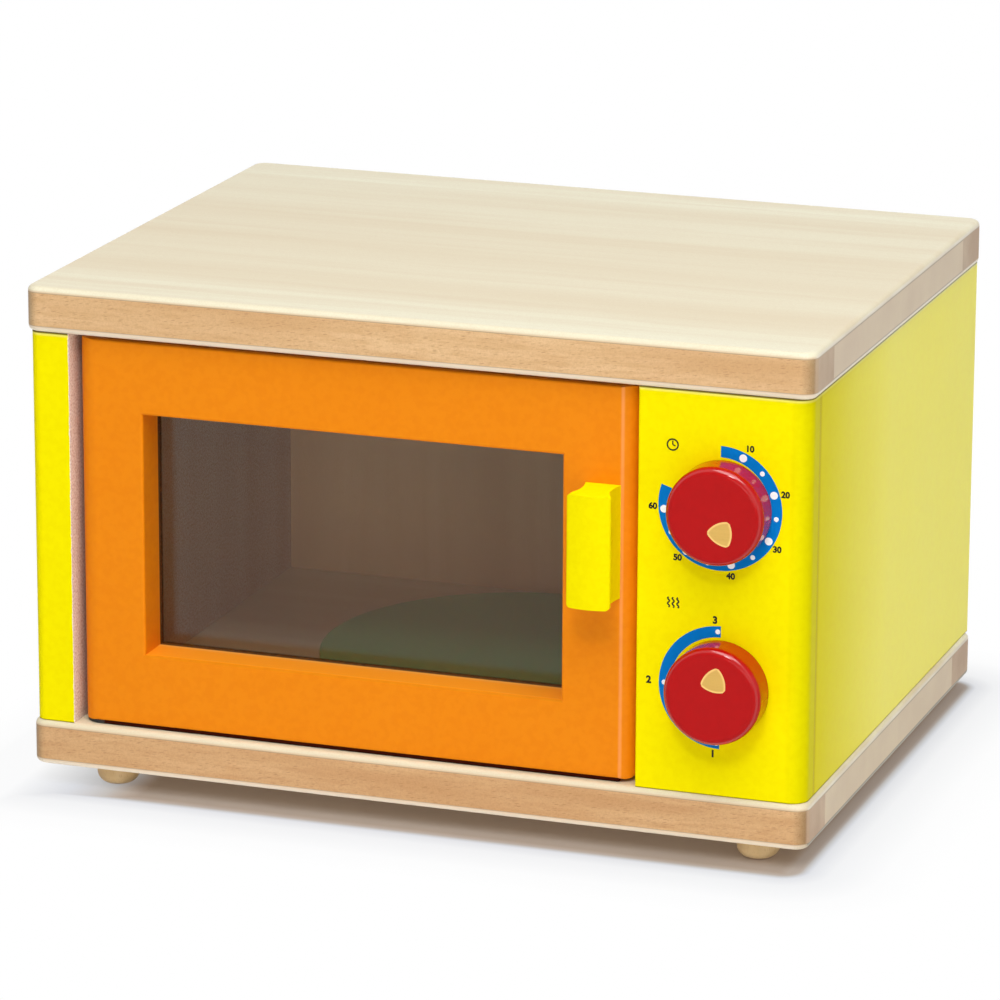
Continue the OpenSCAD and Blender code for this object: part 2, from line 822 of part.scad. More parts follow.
module handle_screws() {
    color(steel) at_handle_screws() sunk() screw(handle_screw_l);
}

// Hinge pins: pressed into the door, turning in the boards' bushes
module hinge_pin(z, up) {
    reach = door_end_gap + bush_l - face_gap;
    length = hinge_pin_hold + reach - snug_gap;
    color(steel) translate([hinge_x, hinge_y, up ? z + reach - length : z - reach])
        cylinder(h = length, r = hinge_pin_d / 2, $fn = fine);
}

module lower_hinge_pin() { hinge_pin(door_z, false); }
module upper_hinge_pin() { hinge_pin(door_z + door_h, true); }

// Washer that carries the door on the base board
module hinge_washer() {
    color(black_nylon) translate([hinge_x, hinge_y, base_top_z + face_gap]) difference() {
        cylinder(h = door_end_gap - face_gap, r = door_hinge_r - face_gap, $fn = fine);
        through_hole(door_end_gap, hinge_pin_d / 2 + snug_gap);
    }
}

module catch_plate() {
    color(steel) difference() {
        translate([catch_x, door_back_y - catch_plate_t, catch_z]) rotate([-90, 0, 0])
            cylinder(h = catch_plate_t, r = catch_plate_d / 2, $fn = fine);
        at_catch_screw() through_hole(catch_plate_t, screw_d / 2 + snug_gap);
    }
}

// The catch plate's screw is flush with the door's back face
module at_catch_screw() {
    translate([catch_x, door_back_y, catch_z]) rotate([90, 0, 0]) children();
}

module catch_plate_screw() {
    color(steel) at_catch_screw() cylinder(h = catch_screw_l, r = screw_d / 2, $fn = fine);
}

// Knobs

// Everything of a knob is drawn pointing along -Y at its own height
module at_knob(z) {
    translate([control_mid_x, knob_back_y, z]) rotate([90, 0, 0]) children();
}

// Three-sided outline with bowed sides, its tip towards +Y, its points blunted
module pointer_plan(gap) {
    tip_r = pointer_w / sqrt(3);
    blunt = 0.4;
    intersection() {
        intersection_for (a = [90, 210, 330]) rotate(a) translate([tip_r, 0])
            circle(pointer_w + gap, $fn = 2 * fine);
        circle(tip_r - blunt + gap, $fn = fine);
    }
}

// The pointer's outline, moved to its place in the knob's face
module at_pointer(angle) {
    rotate(-angle) translate([0, pointer_offset]) children();
}

module knob(z, angle) {
    r = knob_d / 2;
    color(red) at_knob(z) difference() {
        rotate_extrude($fn = fine) {
            square([r, knob_h - knob_edge_r]);
            square([r - knob_edge_r, knob_h]);
            intersection() {
                translate([r - knob_edge_r, knob_h - knob_edge_r]) circle(knob_edge_r, $fn = fine);
                square([r, knob_h]);
            }
        }
        translate([0, 0, -over]) cylinder(h = spindle_hold + over, r = spindle_d / 2 + snug_gap, $fn = fine);
        translate([0, 0, knob_h - pointer_t]) linear_extrude(2 * pointer_t)
            at_pointer(angle) pointer_plan(snug_gap);
    }
}

module pointer(z, angle) {
    stand_out = 0.15;
    color(beech) at_knob(z) translate([0, 0, knob_h - pointer_t])
        linear_extrude(pointer_t + stand_out) at_pointer(angle) pointer_plan(0);
}

// Length of a spindle behind the knob, with its running gaps
function spindle_tail() = face_gap + control_t + face_gap;

module spindle(z) {
    color(beech) at_knob(z) difference() {
        translate([0, 0, -spindle_tail()])
            cylinder(h = spindle_tail() + spindle_hold - snug_gap, r = spindle_d / 2, $fn = fine);
        translate([0, 0, -spindle_tail()]) screw_hole(knob_screw_l);
    }
}

module knob_washer(z) {
    color(nylon) at_knob(z) translate([0, 0, -spindle_tail() - washer_t]) difference() {
        cylinder(h = washer_t, r = knob_washer_d / 2, $fn = fine);
        through_hole(washer_t, screw_d / 2 + snug_gap);
    }
}

module knob_screw(z) {
    color(steel) at_knob(z) translate([0, 0, -spindle_tail() - washer_t])
        screw(knob_screw_l + washer_t - 2 * snug_gap);
}

module timer_knob() { knob(timer_z, timer_angle); }
module timer_pointer() { pointer(timer_z, timer_angle); }
module timer_spindle() { spindle(timer_z); }
module timer_washer() { knob_washer(timer_z); }
module timer_screw() { knob_screw(timer_z); }
module power_knob() { knob(power_z, power_angle); }
module power_pointer() { pointer(power_z, power_angle); }
module power_spindle() { spindle(power_z); }
module power_washer() { knob_washer(power_z); }
module power_screw() { knob_screw(power_z); }

// Turntable

module turntable_disc() {
    r = table_d / 2;
    color(green) translate([0, table_y, table_z]) difference() {
        rotate_extrude($fn = 2 * fine) {
            square([r, table_t - table_edge_r]);
            square([r - table_edge_r, table_t]);
            translate([r - table_edge_r, table_t - table_edge_r]) circle(table_edge_r, $fn = fine);
        }
        translate([0, 0, -over])
            cylinder(h = table_bore_h + over, r = table_pin_d / 2 + turn_gap, $fn = fine);
    }
}

module turntable_pin() {
    rise = table_z + table_bore_h - face_gap - base_top_z;
    color(steel) translate([0, table_y, base_top_z - table_pin_hold])
        cylinder(h = table_pin_hold + rise, r = table_pin_d / 2, $fn = fine);
}

module turntable_spacer() {
    color(nylon) translate([0, table_y, base_top_z]) difference() {
        cylinder(h = spacer_t, r = spacer_d / 2, $fn = fine);
        through_hole(spacer_t, table_pin_d / 2 + snug_gap);
    }
}

base_core();
base_front_strip();
base_back_strip();
base_upper_facing();
base_lower_facing();
top_core();
top_front_strip();
top_back_strip();
top_upper_facing();
top_lower_facing();
left_side_panel();
right_side_panel();
control_panel();
back_panel();
door_stop_post();
casing_dowels();
back_panel_screws();
stop_post_screws();
foot_front_left();
foot_front_right();
foot_back_left();
foot_back_right();
lower_hinge_bush();
upper_hinge_bush();
door_frame();
window_pane();
pane_screws();
door_handle();
handle_screws();
lower_hinge_pin();
upper_hinge_pin();
hinge_washer();
catch_magnet();
catch_plate();
catch_plate_screw();
timer_knob();
timer_pointer();
timer_spindle();
timer_washer();
timer_screw();
power_knob();
power_pointer();
power_spindle();
power_washer();
power_screw();
turntable_disc();
turntable_pin();
turntable_spacer();
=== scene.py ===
import math

import bmesh
import bpy
from mathutils import Matrix, Vector


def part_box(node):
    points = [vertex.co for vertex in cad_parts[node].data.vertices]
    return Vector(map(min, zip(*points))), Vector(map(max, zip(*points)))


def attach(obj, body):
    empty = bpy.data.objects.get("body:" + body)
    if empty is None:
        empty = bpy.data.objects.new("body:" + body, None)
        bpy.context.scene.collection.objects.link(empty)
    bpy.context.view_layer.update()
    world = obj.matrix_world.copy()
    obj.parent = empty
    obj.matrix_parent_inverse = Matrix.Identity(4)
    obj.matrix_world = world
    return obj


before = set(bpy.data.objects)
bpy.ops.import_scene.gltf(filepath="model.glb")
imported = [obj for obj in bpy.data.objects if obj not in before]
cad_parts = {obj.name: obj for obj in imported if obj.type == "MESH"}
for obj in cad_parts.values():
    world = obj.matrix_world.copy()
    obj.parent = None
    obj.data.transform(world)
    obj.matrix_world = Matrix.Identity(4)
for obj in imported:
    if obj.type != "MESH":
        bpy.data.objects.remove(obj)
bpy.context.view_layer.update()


# The two boards
# Each board is a core of pale wood with a beech strip glued along its front and its back,
# pressed between two pale facings. The facings' outer edges are rounded over, and the whole
# board is sanded and has a thin clear lacquer.

def shade(red, green, blue):
    """A colour mixed from 0 to 255, as the linear values that a shader works in."""
    parts = [part / 255 for part in (red, green, blue)]
    return [p / 12.92 if p < 0.04045 else ((p + 0.055) / 1.055) ** 2.4 for p in parts] + [1.0]


def add(tree, kind, inputs=None, **settings):
    """Adds a shader node. Its inputs are plain values, or the sockets that feed them."""
    made = tree.nodes.new("ShaderNode" + kind)
    for name, value in settings.items():
        setattr(made, name, value)
    for name, value in (inputs or {}).items():
        if isinstance(value, bpy.types.NodeSocket):
            tree.links.new(value, made.inputs[name])
        else:
            made.inputs[name].default_value = value
    return made


def reckon(tree, operation, *values):
    """Works out a number from one or two others, at each point of a surface."""
    return add(tree, "Math", dict(enumerate(values)), operation=operation).outputs[0]


def reckon_place(tree, operation, *places):
    """Works out a place from one or two others, at each point of a surface."""
    return add(tree, "VectorMath", dict(enumerate(places)), operation=operation).outputs[0]


def split(tree, place):
    """The X, Y and Z of a place or of a direction."""
    return add(tree, "SeparateXYZ", {"Vector": place}).outputs


def ramp(tree, value, low, high, to_low=0.0, to_high=1.0):
    """Stretches a value so that low becomes to_low and high becomes to_high, and holds it there.

    Most of a noise lies between 0.3 and 0.7, so its ramps lie there too.
    """
    return add(tree, "MapRange", {"Value": value, "From Min": low, "From Max": high,
                                  "To Min": to_low, "To Max": to_high}).outputs[0]


def blend_colors(tree, amount, first, second, kind="MIX"):
    """Mixes two colours by an amount that changes over the surface."""
    return add(tree, "Mix", {0: amount, 6: first, 7: second}, data_type="RGBA", blend_type=kind).outputs[2]


def new_group(name, inputs, outputs):
    """Starts a shader group with its named inputs and outputs, and their usual values."""
    tree = bpy.data.node_groups.new(name, "ShaderNodeTree")
    for label, kind, value in inputs:
        socket = tree.interface.new_socket(label, in_out="INPUT", socket_type="NodeSocket" + kind)
        if value is not None:
            socket.default_value = value
    for label, kind in outputs:
        tree.interface.new_socket(label, in_out="OUTPUT", socket_type="NodeSocket" + kind)
    return tree, tree.nodes.new("NodeGroupInput").outputs, tree.nodes.new("NodeGroupOutput").inputs


def use_group(tree, group, inputs):
    """Places a shader group in a material with its own values."""
    return add(tree, "Group", inputs, node_tree=group).outputs


def sawn_wood():
    """Streaks, pores and ray flecks of a sawn face whose grain runs along its X."""
    sways_per_metre, sway_size = 14.0, (0.0, 0.004, 0.004)
    bands_per_streak = 0.16
    fleck_slant = math.radians(9)
    tree, given, result = new_group(
        "sawn wood",
        [("Place", "Vector", None), ("Streaks per metre", "Float", 300.0), ("Stretch", "Float", 0.03),
         ("Fleck length", "Float", 0.0025), ("Fleck width", "Float", 0.0005)],
        [("Bands", "Float"), ("Streaks", "Float"), ("Flecks", "Float")])
    sway = add(tree, "TexNoise", {"Vector": given["Place"], "Scale": sways_per_metre, "Detail": 1.0})
    bent = reckon_place(tree, "ADD", given["Place"],
                        reckon_place(tree, "MULTIPLY", sway.outputs["Color"], sway_size))
    across = given["Streaks per metre"]
    along = reckon(tree, "MULTIPLY", across, given["Stretch"])
    spread = add(tree, "CombineXYZ", {"X": along, "Y": across, "Z": across})
    stretched = reckon_place(tree, "MULTIPLY", bent, spread.outputs[0])
    streaks = add(tree, "TexNoise", {"Vector": stretched, "Scale": 1.0, "Detail": 5.0, "Roughness": 0.6})
    bands = add(tree, "TexNoise", {"Vector": stretched, "Scale": bands_per_streak, "Detail": 2.0})
    fleck = add(tree, "CombineXYZ", {"X": given["Fleck length"], "Y": given["Fleck width"],
                                     "Z": given["Fleck width"]})
    slanted = add(tree, "VectorRotate", {"Vector": bent, "Angle": fleck_slant}, rotation_type="Y_AXIS")
    cells = reckon_place(tree, "DIVIDE", slanted.outputs[0], fleck.outputs[0])
    flecks = add(tree, "TexVoronoi", {"Vector": cells, "Scale": 1.0})
    tone = add(tree, "SeparateColor", {"Color": flecks.outputs["Color"]})
    patchy = reckon(tree, "MULTIPLY", ramp(tree, flecks.outputs["Distance"], 0.42, 0.12), tone.outputs[0])
    tree.links.new(bands.outputs["Fac"], result["Bands"])
    tree.links.new(streaks.outputs["Fac"], result["Streaks"])
    tree.links.new(patchy, result["Flecks"])
    return tree


def end_grain():
    """Specks, soft growth lines and broad clouds of a sawn end, where the fibres come out."""
    clouds_per_metre = 38.0
    growth_stretch = (1.0, 1.0, 0.12)
    tree, given, result = new_group(
        "end grain", [("Place", "Vector", None), ("Specks per metre", "Float", 1500.0),
                      ("Rings per metre", "Float", 300.0)],
        [("Specks", "Float"), ("Rings", "Float"), ("Clouds", "Float")])
    specks = add(tree, "TexNoise", {"Vector": given["Place"], "Scale": given["Specks per metre"],
                                    "Detail": 3.0, "Roughness": 0.7})
    upright = reckon_place(tree, "MULTIPLY", given["Place"], growth_stretch)
    rings = add(tree, "TexNoise", {"Vector": upright, "Scale": given["Rings per metre"], "Detail": 3.0})
    clouds = add(tree, "TexNoise", {"Vector": given["Place"], "Scale": clouds_per_metre, "Detail": 3.0})
    tree.links.new(specks.outputs["Fac"], result["Specks"])
    tree.links.new(rings.outputs["Fac"], result["Rings"])
    tree.links.new(clouds.outputs["Fac"], result["Clouds"])
    return tree


def new_finish(name, color, roughness, **sockets):
    """A new material with its Principled shader; fixed values go straight on its sockets."""
    material = bpy.data.materials.new(name)
    material.use_nodes = True
    material.diffuse_color = color
    shader = material.node_tree.nodes["Principled BSDF"]
    shader.inputs["Base Color"].default_value = color
    shader.inputs["Roughness"].default_value = roughness
    for label, value in sockets.items():
        shader.inputs[label.replace("_", " ")].default_value = value
    return material, material.node_tree, shader


def place_on(tree, turn=(0, 0, 0)):
    """Where each point lies on its own piece, turned so that the grain runs along X."""
    here = add(tree, "TexCoord")
    turned = add(tree, "Mapping", {"Vector": here.outputs["Object"],
                                   "Rotation": [math.radians(a) for a in turn]})
    return turned.outputs[0], here.outputs["Normal"]


def raise_skin(tree, shader, height, depth):
    """Feeds a height to the shader as a fine relief."""
    bump = add(tree, "Bump", {"Height": height, "Distance": depth, "Strength": 1.0})
    tree.links.new(bump.outputs["Normal"], shader.inputs["Normal"])


SAWN, END = sawn_wood(), end_grain()
grain_relief = 0.00004
lower_core, upper_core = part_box("base_core"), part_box("top_core")
oven_middle = (lower_core[0].z + upper_core[1].z) / 2
board_middle = oven_middle - (lower_core[0].z + lower_core[1].z) / 2
joint_middle = (lower_core[1].z - lower_core[0].z) / 2
glue_width, glue_solid, glue_depth = 0.0004, 0.00015, 0.6
shade_band_width = 0.0012


def sawn_finish(name, light, dark, fleck, end_light, end_dark, turn=(0, 0, 0), end_axis="X",
                streaks=300.0, stretch=0.03, streak_depth=0.55, fleck_size=(0.0025, 0.0005),
                fleck_depth=0.5, roughness=0.42, corner=None, speckle=0.0):
    """Wood with a sawn face along the grain and end grain where the fibres come out; a corner colour, if
    given, is painted shade on rounded corners.
    """
    material, tree, shader = new_finish(name, light, roughness, Specular_IOR_Level=0.35)
    place, normal = place_on(tree, turn)
    face = use_group(tree, SAWN, {"Place": place, "Streaks per metre": streaks, "Stretch": stretch,
                                  "Fleck length": fleck_size[0], "Fleck width": fleck_size[1]})
    sawn = blend_colors(tree, ramp(tree, face["Bands"], 0.35, 0.7), light, dark)
    sawn = blend_colors(tree, ramp(tree, face["Streaks"], 0.45, 0.7, 0.0, streak_depth), sawn, dark)
    sawn = blend_colors(tree, ramp(tree, face["Flecks"], 0.0, 1.0, 0.0, fleck_depth), sawn, fleck)
    ends = use_group(tree, END, {"Place": place})
    if speckle:
        sawn = blend_colors(tree, ramp(tree, ends["Specks"], 0.42, 0.7, 0.0, speckle), sawn, fleck)
    cut = blend_colors(tree, ramp(tree, ends["Clouds"], 0.35, 0.65), end_light, end_dark)
    cut = blend_colors(tree, ramp(tree, ends["Rings"], 0.45, 0.75, 0.0, 0.35), cut, end_dark)
    cut = blend_colors(tree, ramp(tree, ends["Specks"], 0.5, 0.75, 0.0, 0.3), cut, end_dark)
    outward = reckon(tree, "ABSOLUTE", split(tree, normal)[end_axis])
    # Painted shade: the sawn colour darkens as a rounded corner turns from the face towards the end
    if corner:
        sawn = blend_colors(tree, ramp(tree, outward, 0.05, 0.85), sawn, corner, "MULTIPLY")
    is_end = ramp(tree, outward, 0.84, 0.93)
    grained = blend_colors(tree, is_end, sawn, cut)
    tree.links.new(grained, shader.inputs["Base Color"])
    raise_skin(tree, shader, reckon(tree, "SUBTRACT", face["Streaks"], face["Flecks"]), grain_relief)
    return material, tree, shader, grained, place, is_end


def glue_lines(wood, line, band=None, band_depth=0.8):
    """Draws the thin glue joints between a board's layers, and a softer band of painted shade beside them,
    off the end grain.
    """
    material, tree, shader, grained, place, is_end = wood
    off = split(tree, place)["Z"]
    for level in (oven_middle, board_middle, joint_middle):
        off = reckon(tree, "ABSOLUTE", reckon(tree, "SUBTRACT", off, level))
    # The band is painted shade on the facings' fronts, below their rounded tops
    if band:
        beside = ramp(tree, off, shade_band_width, shade_band_width / 3, 0.0, band_depth)
        beside = reckon(tree, "MULTIPLY", beside, reckon(tree, "SUBTRACT", 1.0, is_end))
        grained = blend_colors(tree, beside, grained, band)
    joined = blend_colors(tree, ramp(tree, off, glue_width, glue_solid, 0.0, glue_depth), grained, line)
    tree.links.new(joined, shader.inputs["Base Color"])
    return material


def finish(material, *nodes):
    """Gives CAD pieces their material."""
    for name in nodes:
        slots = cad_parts[name].data.materials
        slots.clear()
        slots.append(material)


# The corner colour here is painted shade on the strips' rounded corners
beech_grain = {"streaks": 620.0, "stretch": 0.11, "streak_depth": 0.8, "fleck_size": (0.0032, 0.0006),
               "fleck_depth": 0.75, "corner": shade(199, 201, 198), "speckle": 0.3}
beech = sawn_finish("beech", shade(228, 190, 141), shade(210, 166, 115), shade(182, 134, 88),
                    shade(206, 182, 152), shade(184, 152, 120), **beech_grain)[0]
base_beech = sawn_finish("beech, base board", shade(219, 178, 129), shade(201, 154, 104), shade(172, 124, 78),
                         shade(208, 180, 150), shade(184, 150, 118), **beech_grain)[0]
core_wood = glue_lines(
    sawn_finish("core wood", shade(240, 226, 198), shade(224, 206, 178), shade(200, 180, 150),
                shade(223, 203, 173), shade(217, 195, 167)), shade(150, 124, 98))
facing_grain = {"streaks": 110.0, "fleck_size": (0.006, 0.0005), "roughness": 0.38}
facing_glue = shade(140, 112, 84)
upper_facing = glue_lines(
    sawn_finish("pale facing, upper", shade(233, 228, 201), shade(216, 198, 164), shade(204, 180, 146),
                shade(238, 230, 212), shade(228, 216, 194), fleck_depth=0.25, speckle=0.22, **facing_grain),
    facing_glue, shade(214, 184, 146))
# Painted light: the facings under the boards are the upper facing's pale wood made lighter, where they face
# down
painted_light_under_wood = (shade(250, 240, 222), shade(240, 224, 200), shade(214, 188, 150))
under_shade_band, under_shade_band_depth, under_fleck_depth = shade(222, 194, 158), 0.6, 0.18
# The lower facing's ends are lighter still: painted light on ends that turn down
lower_facing = glue_lines(
    sawn_finish("pale facing, lower", *painted_light_under_wood, shade(252, 244, 228), shade(244, 230, 210),
                fleck_depth=under_fleck_depth, **facing_grain),
    facing_glue, under_shade_band, under_shade_band_depth)
# Painted shade: the underside facing's ends and rounded corners are made darker
base_facing = glue_lines(
    sawn_finish("pale facing, underside", *painted_light_under_wood, shade(168, 160, 144), shade(160, 150, 134),
                fleck_depth=under_fleck_depth, corner=shade(214, 210, 202), **facing_grain),
    facing_glue, under_shade_band, under_shade_band_depth)
finish(base_beech, "base_front_strip", "base_back_strip")
finish(beech, "top_front_strip", "top_back_strip")
finish(core_wood, "base_core", "top_core")
finish(upper_facing, "base_upper_facing", "top_upper_facing")
finish(base_facing, "base_lower_facing")
finish(lower_facing, "top_lower_facing")


# The casing panels
# Solid wood panels stand between the boards on dowels. Their outer faces are sprayed with a
# satin yellow lacquer; inside, and where they meet the door, the wood is left bare. The lacquer
# stops at the sharp inner edge, where small chips of it have come away.

def lacquer_skin():
    """The faint orange peel and uneven thickness of sprayed lacquer on wood."""
    clouds_per_cell = 0.07
    tree, given, result = new_group(
        "lacquer skin", [("Place", "Vector", None), ("Peel size", "Float", 0.003)],
        [("Peel", "Float"), ("Cloud", "Float")])
    cells = reckon_place(tree, "DIVIDE", given["Place"], given["Peel size"])
    peel = add(tree, "TexNoise", {"Vector": cells, "Scale": 1.0, "Detail": 2.0})
    cloud = add(tree, "TexNoise", {"Vector": cells, "Scale": clouds_per_cell, "Detail": 3.0})
    tree.links.new(peel.outputs["Fac"], result["Peel"])
    tree.links.new(cloud.outputs["Fac"], result["Cloud"])
    return tree


LACQUER = lacquer_skin()
peel_relief = 0.00002


def lacquer_finish(name, color, deep, roughness, peel=0.003, **sockets):
    """Sprayed lacquer: one colour that deepens slightly where the coat is thicker."""
    material, tree, shader = new_finish(name, color, roughness, **sockets)
    place, _ = place_on(tree)
    skin = use_group(tree, LACQUER, {"Place": place, "Peel size": peel})
    coat = blend_colors(tree, ramp(tree, skin["Cloud"], 0.35, 0.7, 0.0, 0.15), color, deep)
    coat = blend_colors(tree, ramp(tree, skin["Peel"], 0.42, 0.62, 0.0, 0.35), coat, deep)
    tree.links.new(coat, shader.inputs["Base Color"])
    duller = ramp(tree, skin["Cloud"], 0.3, 0.7, roughness, roughness * 1.25)
    tree.links.new(duller, shader.inputs["Roughness"])
    raise_skin(tree, shader, skin["Peel"], peel_relief)
    return material, tree, shader, coat, place


left_box, control_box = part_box("left_side_panel"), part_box("control_panel")
right_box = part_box("right_side_panel")
bare_light, bare_dark = shade(255, 242, 230), shade(246, 227, 213)
bare_speck, bare_fleck = shade(206, 174, 154), shade(246, 232, 222)
bare_streaks, chips_per_metre, specks_per_metre = 260.0, 260.0, 1100.0
shaded_jamb, shaded_width, shaded_depth = shade(116, 66, 36), 0.012, 0.34
joint_painted_shade, top_joint_w, foot_joint_w = shade(84, 62, 16), 0.0008, 0.0005
pale_painted_light, pale_light_w = shade(255, 246, 130), 0.0018
seam_yellow, seam_depth, side_seam_depth = shade(206, 186, 0), 0.7, 0.6
corner_start, corner_end, corner_painted_shade = 0.0085, 0.002, shade(232, 234, 238)
control_seam, control_seam_solid = 0.0012, 0.0004
side_seam, side_seam_solid = 0.0025, 0.001
painted_shade_end, front_painted_shade, gloss_end, most_gloss = -0.01, shade(236, 233, 230), 0.0, 0.68


def bed_ends(tree, place, coat):
    """Painted shade in the joints where a panel's ends bed on the boards, and a pale line of painted light
    below the top one.
    """
    height = split(tree, place)["Z"]
    below = reckon(tree, "SUBTRACT", left_box[1].z, height)
    above = reckon(tree, "SUBTRACT", height, left_box[0].z)
    # Painted light: a pale line just below the top board
    coat = blend_colors(tree, ramp(tree, below, pale_light_w, pale_light_w / 2, 0.0, 0.7), coat, pale_painted_light)
    # Painted shade: dark lines in the joints at the panel's top and foot
    top_joint = ramp(tree, below, top_joint_w, top_joint_w / 2, 0.0, 0.85)
    foot_joint = ramp(tree, above, foot_joint_w, foot_joint_w * 0.4, 0.0, 0.6)
    return blend_colors(tree, reckon(tree, "MAXIMUM", top_joint, foot_joint), coat, joint_painted_shade)


def leave_bare(painted, axis, edge, side, chip):
    """Leaves the lacquer off past an edge along one axis, with small chips along it."""
    material, tree, shader, coat, place = painted
    at = split(tree, place)
    ragged = add(tree, "TexNoise", {"Vector": place, "Scale": chips_per_metre, "Detail": 3.0})
    chips = ramp(tree, ragged.outputs["Fac"], 0.45, 0.75, 0.0, chip)
    inward = reckon(tree, "MULTIPLY", reckon(tree, "SUBTRACT", at[axis], edge), side)
    is_bare = reckon(tree, "GREATER_THAN", reckon(tree, "ADD", inward, chips), 0.0)
    upright = add(tree, "Mapping", {"Vector": place, "Rotation": (0, math.radians(90), 0)})
    grain = use_group(tree, SAWN, {"Place": upright.outputs[0], "Streaks per metre": bare_streaks})
    wood = blend_colors(tree, ramp(tree, grain["Bands"], 0.35, 0.7), bare_light, bare_dark)
    specks = add(tree, "TexNoise", {"Vector": place, "Scale": specks_per_metre, "Detail": 2.0})
    wood = blend_colors(tree, ramp(tree, specks.outputs["Fac"], 0.35, 0.6, 0.7, 0.0), wood, bare_speck)
    wood = blend_colors(tree, ramp(tree, grain["Flecks"], 0, 1, 0, 0.6), wood, bare_fleck)
    # Painted shade: the bare wood darkens over 12 mm behind the panels' front, and stays darker further in
    inner = ramp(tree, at["Y"], left_box[0].y, left_box[0].y + shaded_width, 0.0, shaded_depth)
    wood = blend_colors(tree, inner, wood, shaded_jamb)
    coat = bed_ends(tree, place, coat)
    tree.links.new(blend_colors(tree, is_bare, coat, wood), shader.inputs["Base Color"])
    return material


def round_corner(painted):
    """Paints shade on the control panel's lacquer where its outer corner is rounded over, and draws a dark
    seam near its back edge.
    """
    material, tree, shader, coat, place = painted
    at = split(tree, place)
    corner_x, seam_y = control_box[1].x, control_box[1].y
    # Painted shade over the rounded corner
    rounded = ramp(tree, at["X"], corner_x - corner_start, corner_x - corner_end)
    coat = blend_colors(tree, rounded, coat, corner_painted_shade, "MULTIPLY")
    seam = ramp(tree, at["Y"], seam_y - control_seam, seam_y - control_seam_solid, 0.0, seam_depth)
    return material, tree, shader, blend_colors(tree, seam, coat, seam_yellow), place


def polish_side(painted):
    """The side panel's coat is glossier further back; painted shade darkens its front part, with a dark seam
    beside its front edge.
    """
    material, tree, shader, coat, place = painted
    back, seam_y = split(tree, place)["Y"], right_box[0].y
    tree.links.new(ramp(tree, back, seam_y, gloss_end, 0.0, most_gloss), shader.inputs["Coat Weight"])
    # Painted shade, strongest at the panel's front edge and gone 10 mm before the oven's middle
    dull = ramp(tree, back, seam_y, painted_shade_end, 1.0, 0.0)
    coat = blend_colors(tree, dull, coat, front_painted_shade, "MULTIPLY")
    seam = ramp(tree, back, seam_y + side_seam, seam_y + side_seam_solid, 0.0, side_seam_depth)
    return material, tree, shader, blend_colors(tree, seam, coat, seam_yellow), place


yellow, yellow_deep = shade(250, 236, 2), shade(243, 226, 0)
# Painted light: the right panel's yellow is the same lacquer made brighter and paler, for a face that gets
# less light
painted_light_side_yellow, painted_light_side_yellow_deep = shade(254, 243, 18), shade(252, 236, 12)
yellow_look = {"roughness": 0.3, "Specular_IOR_Level": 0.01}
side_look = {"roughness": 0.34, "Specular_IOR_Level": 0.01, "Coat_Roughness": 0.3}
chip_reach, side_lap, seam_lap = 0.0003, 0.0002, 0.00005
left_coat = lacquer_finish("yellow lacquer, left panel", yellow, yellow_deep, **yellow_look)
right_coat = lacquer_finish("yellow lacquer, right panel", painted_light_side_yellow, painted_light_side_yellow_deep, **side_look)
control_coat = lacquer_finish("yellow lacquer, control panel", yellow, yellow_deep, **yellow_look)
finish(leave_bare(left_coat, "X", left_box[1].x - side_lap, 1.0, chip_reach), "left_side_panel")
finish(leave_bare(polish_side(right_coat), "X", right_box[0].x + side_lap, -1.0, chip_reach),
       "right_side_panel")
finish(leave_bare(round_corner(control_coat), "Y", control_box[1].y - seam_lap, 1.0, 0.0),
       "control_panel")


# The back panel, the door stop and the dowels
# The back panel is a plain sanded board screwed into a step in the side panels. The stop post
# is a bare batten behind the control panel's edge, and beech dowels join panels and boards.

bare_wood = sawn_finish("bare wood", shade(252, 220, 172), shade(238, 200, 154), shade(210, 168, 124),
                        shade(216, 188, 156), shade(192, 160, 128), turn=(0, 90, 0), end_axis="Z",
                        streaks=170.0, fleck_depth=0.4, roughness=0.6)[0]
finish(bare_wood, "back_panel", "door_stop_post")
finish(beech, "casing_dowels")


# The feet
# Four small feet, turned from beech with their grain upright and domed below.
# Each is glued into a hole in the base board by its stem.

# Painted shade: the feet's beech is darker than the strips' beech, for the shade under the base board
foot_beech_painted_shade = sawn_finish("turned beech", shade(211, 182, 134), shade(196, 162, 112), shade(178, 134, 92),
                        shade(204, 170, 128), shade(170, 134, 98), turn=(0, 90, 0), end_axis="Z",
                        fleck_depth=0.6)[0]
finish(foot_beech_painted_shade, "foot_front_left", "foot_front_right", "foot_back_left", "foot_back_right")


# The door
# One thick frame of solid wood with an opening cut through it for the pane.
# It is sanded round and sprayed with a satin orange lacquer on all its faces.

door_box, pane_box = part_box("door_frame"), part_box("window_pane")
orange_look = {"roughness": 0.3, "Specular_IOR_Level": 0.08}
# Colours of painted light, highlight, shade and shadow on the door's lacquer
upward_painted_light, tilted_painted_shade = shade(255, 155, 30), shade(238, 243, 255)
ridge_offset, ridge_width, ridge_highlight_depth, ridge_painted_highlight = 0.0056, 0.0009, 0.4, shade(255, 176, 116)
ridge_front, ridge_back = 0.001, 0.0015
top_line, top_line_solid, top_line_depth, top_painted_shadow = 0.0006, 0.0002, 0.5, shade(116, 54, 16)
bed_line, bed_highlight_depth, bed_painted_highlight = 0.003, 0.6, shade(255, 176, 84)


